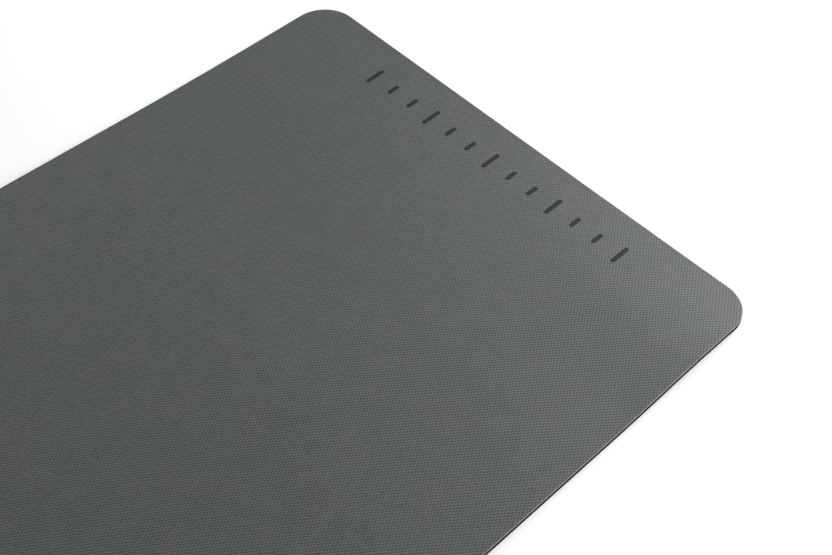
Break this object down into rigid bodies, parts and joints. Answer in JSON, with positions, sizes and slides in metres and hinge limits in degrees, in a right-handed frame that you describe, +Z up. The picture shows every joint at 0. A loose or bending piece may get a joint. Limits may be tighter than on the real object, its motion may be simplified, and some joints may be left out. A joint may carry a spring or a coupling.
{
  "type": "exercise mat",
  "caption": "Thin rectangular foam exercise mat with rounded corners, an embossed grip layer bonded on a dark base layer, lying flat with its ends slightly curled.",
  "frame": {"origin": "on the floor, under the middle of the mat", "axes": "+Z up, +Y along the length towards the far end, +X across the width to the right-hand long edge"},
  "size_m": [0.61, 1.8302, 0.0127],
  "materials": {
    "top_foam": "matt embossed foam skin",
    "base_foam": "matt textured foam skin"
  },
  "bodies": {
    "root": {"top_layer": "top_foam", "base_layer": "base_foam"}
  },
  "joints": []
}
